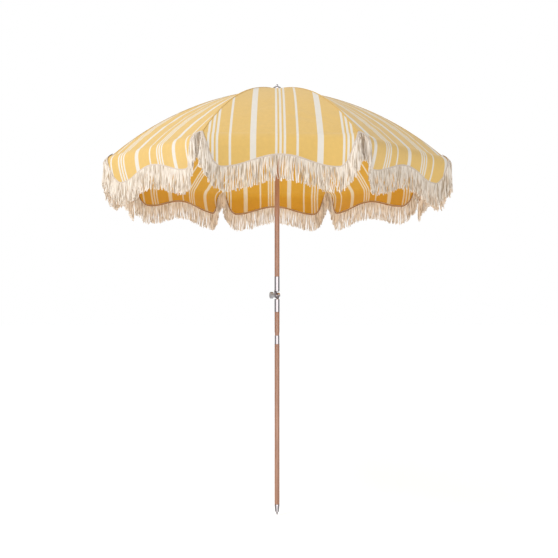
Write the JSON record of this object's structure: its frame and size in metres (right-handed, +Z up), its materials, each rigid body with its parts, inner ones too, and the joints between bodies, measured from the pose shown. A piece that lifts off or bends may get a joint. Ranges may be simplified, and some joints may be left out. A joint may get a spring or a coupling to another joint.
{
  "type": "beach umbrella",
  "caption": "Beach umbrella with a two-piece wooden pole, tilting knuckle, ribbed canopy of striped canvas, and scalloped fringed valances.",
  "frame": {"origin": "point of the ground spike, on the pole's axis", "axes": "+Z up along the pole; -Y towards the front gore; the clamping knob points to -X and a little to -Y"},
  "size_m": [1.716, 1.716, 2.3256],
  "materials": {
    "wood_pole": "oiled beech, satin varnish",
    "polished_steel": "polished stainless steel",
    "grey_plastic": "moulded, matt grey",
    "white_nylon": "moulded, off-white",
    "white_fibreglass": "pultruded rod, smooth",
    "striped_canvas": "woven acrylic canvas, warm yellow with cream stripes",
    "cotton_fringe": "twisted cotton cord, natural cream"
  },
  "bodies": {
    "lower_pole": {"ground_spike": "polished_steel", "pole_lower": "wood_pole", "ferrule_socket": "polished_steel"},
    "middle_pole": {"ferrule_spigot": "polished_steel", "pole_middle": "wood_pole", "tilt_base": "polished_steel", "tilt_pin": "polished_steel"},
    "upper_pole": {"tilt_head": "polished_steel", "pole_upper": "wood_pole", "crown_hub": "white_nylon", "crown_cap": "polished_steel", "finial": "polished_steel"},
    "clamp_knob": {"tilt_knob": "grey_plastic"},
    "runner": {"runner": "white_nylon"},
    "runner_button": {"runner_button": "polished_steel"},
    "rib_1": {"rib_1": "white_fibreglass"},
    "stretcher_1": {"stretcher_1": "polished_steel"},
    "gore_1": {"gore_1": "striped_canvas"},
    "valance_1": {"valance_1": "striped_canvas", "fringe_1": "cotton_fringe"},
    "rib_2": {"rib_2": "white_fibreglass"},
    "stretcher_2": {"stretcher_2": "polished_steel"},
    "gore_2": {"gore_2": "striped_canvas"},
    "valance_2": {"valance_2": "striped_canvas", "fringe_2": "cotton_fringe"},
    "rib_3": {"rib_3": "white_fibreglass"},
    "stretcher_3": {"stretcher_3": "polished_steel"},
    "gore_3": {"gore_3": "striped_canvas"},
    "valance_3": {"valance_3": "striped_canvas", "fringe_3": "cotton_fringe"},
    "rib_4": {"rib_4": "white_fibreglass"},
    "stretcher_4": {"stretcher_4": "polished_steel"},
    "gore_4": {"gore_4": "striped_canvas"},
    "valance_4": {"valance_4": "striped_canvas", "fringe_4": "cotton_fringe"},
    "rib_5": {"rib_5": "white_fibreglass"},
    "stretcher_5": {"stretcher_5": "polished_steel"},
    "gore_5": {"gore_5": "striped_canvas"},
    "valance_5": {"valance_5": "striped_canvas", "fringe_5": "cotton_fringe"},
    "rib_6": {"rib_6": "white_fibreglass"},
    "stretcher_6": {"stretcher_6": "polished_steel"},
    "gore_6": {"gore_6": "striped_canvas"},
    "valance_6": {"valance_6": "striped_canvas", "fringe_6": "cotton_fringe"},
    "rib_7": {"rib_7": "white_fibreglass"},
    "stretcher_7": {"stretcher_7": "polished_steel"},
    "gore_7": {"gore_7": "striped_canvas"},
    "valance_7": {"valance_7": "striped_canvas", "fringe_7": "cotton_fringe"},
    "rib_8": {"rib_8": "white_fibreglass"},
    "stretcher_8": {"stretcher_8": "polished_steel"},
    "gore_8": {"gore_8": "striped_canvas"},
    "valance_8": {"valance_8": "striped_canvas", "fringe_8": "cotton_fringe"}
  },
  "joints": [
    {"name": "pole_lift", "type": "slide", "parent": "lower_pole", "child": "middle_pole", "axis": [0, 0, 1], "range_m": [0, 0.025]},
    {"name": "tilt", "type": "hinge", "parent": "middle_pole", "child": "upper_pole", "pos_m": [0, 0, 1.188], "axis": [0.9511, 0.309, 0], "range_deg": [-45, 45]},
    {"name": "knob_turn", "type": "hinge", "parent": "middle_pole", "child": "clamp_knob", "pos_m": [-0.02948, -0.00958, 1.188], "axis": [-0.9511, -0.309, 0], "range_deg": [0, 270]},
    {"name": "runner_slide", "type": "slide", "parent": "upper_pole", "child": "runner", "axis": [0, 0, -1], "range_m": [0, 0.5327], "deforming": ["gore_1", "valance_1", "fringe_1", "gore_2", "valance_2", "fringe_2", "gore_3", "valance_3", "fringe_3", "gore_4", "valance_4", "fringe_4", "gore_5", "valance_5", "fringe_5", "gore_6", "valance_6", "fringe_6", "gore_7", "valance_7", "fringe_7", "gore_8", "valance_8", "fringe_8"]},
    {"name": "button_press", "type": "slide", "parent": "runner", "child": "runner_button", "axis": [0, 1, 0], "range_m": [0, 0.003], "stiffness_N_per_m": 600},
    {"name": "rib_1_fold", "type": "hinge", "parent": "upper_pole", "child": "rib_1", "pos_m": [0.00804, -0.0194, 2.282], "axis": [0.9239, 0.3827, 0], "range_deg": [0, 60]},
    {"name": "stretcher_1_fold", "type": "hinge", "parent": "runner", "child": "stretcher_1", "pos_m": [0.01596, -0.02153, 1.99], "axis": [-0.9239, -0.3827, 0], "range_deg": [0, 54.7]},
    {"name": "gore_1_fold", "type": "hinge", "parent": "upper_pole", "child": "gore_1", "pos_m": [0, -0.026, 2.293], "axis": [1, 0, 0], "range_deg": [0, 57.5]},
    {"name": "valance_1_hang", "type": "hinge", "parent": "gore_1", "child": "valance_1", "pos_m": [0, -0.80839, 1.872], "axis": [-1, 0, 0], "range_deg": [0, 57.5]},
    {"name": "rib_2_fold", "type": "hinge", "parent": "upper_pole", "child": "rib_2", "pos_m": [0.0194, -0.00804, 2.282], "axis": [0.3827, 0.9239, 0], "range_deg": [0, 60]},
    {"name": "stretcher_2_fold", "type": "hinge", "parent": "runner", "child": "stretcher_2", "pos_m": [0.02651, -0.00394, 1.99], "axis": [-0.3827, -0.9239, 0], "range_deg": [0, 54.7]},
    {"name": "gore_2_fold", "type": "hinge", "parent": "upper_pole", "child": "gore_2", "pos_m": [0.01838, -0.01838, 2.293], "axis": [0.7071, 0.7071, 0], "range_deg": [0, 57.5]},
    {"name": "valance_2_hang", "type": "hinge", "parent": "gore_2", "child": "valance_2", "pos_m": [0.57162, -0.57162, 1.872], "axis": [-0.7071, -0.7071, 0], "range_deg": [0, 57.5]},
    {"name": "rib_3_fold", "type": "hinge", "parent": "upper_pole", "child": "rib_3", "pos_m": [0.0194, 0.00804, 2.282], "axis": [-0.3827, 0.9239, 0], "range_deg": [0, 60]},
    {"name": "stretcher_3_fold", "type": "hinge", "parent": "runner", "child": "stretcher_3", "pos_m": [0.02153, 0.01596, 1.99], "axis": [0.3827, -0.9239, 0], "range_deg": [0, 54.7]},
    {"name": "gore_3_fold", "type": "hinge", "parent": "upper_pole", "child": "gore_3", "pos_m": [0.026, 0, 2.293], "axis": [0, 1, 0], "range_deg": [0, 57.5]},
    {"name": "valance_3_hang", "type": "hinge", "parent": "gore_3", "child": "valance_3", "pos_m": [0.80839, 0, 1.872], "axis": [0, -1, 0], "range_deg": [0, 57.5]},
    {"name": "rib_4_fold", "type": "hinge", "parent": "upper_pole", "child": "rib_4", "pos_m": [0.00804, 0.0194, 2.282], "axis": [-0.9239, 0.3827, 0], "range_deg": [0, 60]},
    {"name": "stretcher_4_fold", "type": "hinge", "parent": "runner", "child": "stretcher_4", "pos_m": [0.00394, 0.02651, 1.99], "axis": [0.9239, -0.3827, 0], "range_deg": [0, 54.7]},
    {"name": "gore_4_fold", "type": "hinge", "parent": "upper_pole", "child": "gore_4", "pos_m": [0.01838, 0.01838, 2.293], "axis": [-0.7071, 0.7071, 0], "range_deg": [0, 57.5]},
    {"name": "valance_4_hang", "type": "hinge", "parent": "gore_4", "child": "valance_4", "pos_m": [0.57162, 0.57162, 1.872], "axis": [0.7071, -0.7071, 0], "range_deg": [0, 57.5]},
    {"name": "rib_5_fold", "type": "hinge", "parent": "upper_pole", "child": "rib_5", "pos_m": [-0.00804, 0.0194, 2.282], "axis": [-0.9239, -0.3827, 0], "range_deg": [0, 60]},
    {"name": "stretcher_5_fold", "type": "hinge", "parent": "runner", "child": "stretcher_5", "pos_m": [-0.01596, 0.02153, 1.99], "axis": [0.9239, 0.3827, 0], "range_deg": [0, 54.7]},
    {"name": "gore_5_fold", "type": "hinge", "parent": "upper_pole", "child": "gore_5", "pos_m": [0, 0.026, 2.293], "axis": [-1, 0, 0], "range_deg": [0, 57.5]},
    {"name": "valance_5_hang", "type": "hinge", "parent": "gore_5", "child": "valance_5", "pos_m": [0, 0.80839, 1.872], "axis": [1, 0, 0], "range_deg": [0, 57.5]},
    {"name": "rib_6_fold", "type": "hinge", "parent": "upper_pole", "child": "rib_6", "pos_m": [-0.0194, 0.00804, 2.282], "axis": [-0.3827, -0.9239, 0], "range_deg": [0, 60]},
    {"name": "stretcher_6_fold", "type": "hinge", "parent": "runner", "child": "stretcher_6", "pos_m": [-0.02651, 0.00394, 1.99], "axis": [0.3827, 0.9239, 0], "range_deg": [0, 54.7]},
    {"name": "gore_6_fold", "type": "hinge", "parent": "upper_pole", "child": "gore_6", "pos_m": [-0.01838, 0.01838, 2.293], "axis": [-0.7071, -0.7071, 0], "range_deg": [0, 57.5]},
    {"name": "valance_6_hang", "type": "hinge", "parent": "gore_6", "child": "valance_6", "pos_m": [-0.57162, 0.57162, 1.872], "axis": [0.7071, 0.7071, 0], "range_deg": [0, 57.5]},
    {"name": "rib_7_fold", "type": "hinge", "parent": "upper_pole", "child": "rib_7", "pos_m": [-0.0194, -0.00804, 2.282], "axis": [0.3827, -0.9239, 0], "range_deg": [0, 60]},
    {"name": "stretcher_7_fold", "type": "hinge", "parent": "runner", "child": "stretcher_7", "pos_m": [-0.02153, -0.01596, 1.99], "axis": [-0.3827, 0.9239, 0], "range_deg": [0, 54.7]},
    {"name": "gore_7_fold", "type": "hinge", "parent": "upper_pole", "child": "gore_7", "pos_m": [-0.026, 0, 2.293], "axis": [0, -1, 0], "range_deg": [0, 57.5]},
    {"name": "valance_7_hang", "type": "hinge", "parent": "gore_7", "child": "valance_7", "pos_m": [-0.80839, 0, 1.872], "axis": [0, 1, 0], "range_deg": [0, 57.5]},
    {"name": "rib_8_fold", "type": "hinge", "parent": "upper_pole", "child": "rib_8", "pos_m": [-0.00804, -0.0194, 2.282], "axis": [0.9239, -0.3827, 0], "range_deg": [0, 60]},
    {"name": "stretcher_8_fold", "type": "hinge", "parent": "runner", "child": "stretcher_8", "pos_m": [-0.00394, -0.02651, 1.99], "axis": [-0.9239, 0.3827, 0], "range_deg": [0, 54.7]},
    {"name": "gore_8_fold", "type": "hinge", "parent": "upper_pole", "child": "gore_8", "pos_m": [-0.01838, -0.01838, 2.293], "axis": [0.7071, -0.7071, 0], "range_deg": [0, 57.5]},
    {"name": "valance_8_hang", "type": "hinge", "parent": "gore_8", "child": "valance_8", "pos_m": [-0.57162, -0.57162, 1.872], "axis": [-0.7071, 0.7071, 0], "range_deg": [0, 57.5]}
  ],
  "couplings": [
    {"joint": "rib_1_fold", "follows": "runner_slide", "rad_per_m": 1.9494},
    {"joint": "stretcher_1_fold", "follows": "runner_slide", "rad_per_m": 1.7757},
    {"joint": "gore_1_fold", "follows": "runner_slide", "rad_per_m": 1.8675},
    {"joint": "valance_1_hang", "follows": "runner_slide", "rad_per_m": 1.8675},
    {"joint": "rib_2_fold", "follows": "runner_slide", "rad_per_m": 1.9494},
    {"joint": "stretcher_2_fold", "follows": "runner_slide", "rad_per_m": 1.7757},
    {"joint": "gore_2_fold", "follows": "runner_slide", "rad_per_m": 1.8675},
    {"joint": "valance_2_hang", "follows": "runner_slide", "rad_per_m": 1.8675},
    {"joint": "rib_3_fold", "follows": "runner_slide", "rad_per_m": 1.9494},
    {"joint": "stretcher_3_fold", "follows": "runner_slide", "rad_per_m": 1.7757},
    {"joint": "gore_3_fold", "follows": "runner_slide", "rad_per_m": 1.8675},
    {"joint": "valance_3_hang", "follows": "runner_slide", "rad_per_m": 1.8675},
    {"joint": "rib_4_fold", "follows": "runner_slide", "rad_per_m": 1.9494},
    {"joint": "stretcher_4_fold", "follows": "runner_slide", "rad_per_m": 1.7757},
    {"joint": "gore_4_fold", "follows": "runner_slide", "rad_per_m": 1.8675},
    {"joint": "valance_4_hang", "follows": "runner_slide", "rad_per_m": 1.8675},
    {"joint": "rib_5_fold", "follows": "runner_slide", "rad_per_m": 1.9494},
    {"joint": "stretcher_5_fold", "follows": "runner_slide", "rad_per_m": 1.7757},
    {"joint": "gore_5_fold", "follows": "runner_slide", "rad_per_m": 1.8675},
    {"joint": "valance_5_hang", "follows": "runner_slide", "rad_per_m": 1.8675},
    {"joint": "rib_6_fold", "follows": "runner_slide", "rad_per_m": 1.9494},
    {"joint": "stretcher_6_fold", "follows": "runner_slide", "rad_per_m": 1.7757},
    {"joint": "gore_6_fold", "follows": "runner_slide", "rad_per_m": 1.8675},
    {"joint": "valance_6_hang", "follows": "runner_slide", "rad_per_m": 1.8675},
    {"joint": "rib_7_fold", "follows": "runner_slide", "rad_per_m": 1.9494},
    {"joint": "stretcher_7_fold", "follows": "runner_slide", "rad_per_m": 1.7757},
    {"joint": "gore_7_fold", "follows": "runner_slide", "rad_per_m": 1.8675},
    {"joint": "valance_7_hang", "follows": "runner_slide", "rad_per_m": 1.8675},
    {"joint": "rib_8_fold", "follows": "runner_slide", "rad_per_m": 1.9494},
    {"joint": "stretcher_8_fold", "follows": "runner_slide", "rad_per_m": 1.7757},
    {"joint": "gore_8_fold", "follows": "runner_slide", "rad_per_m": 1.8675},
    {"joint": "valance_8_hang", "follows": "runner_slide", "rad_per_m": 1.8675}
  ]
}
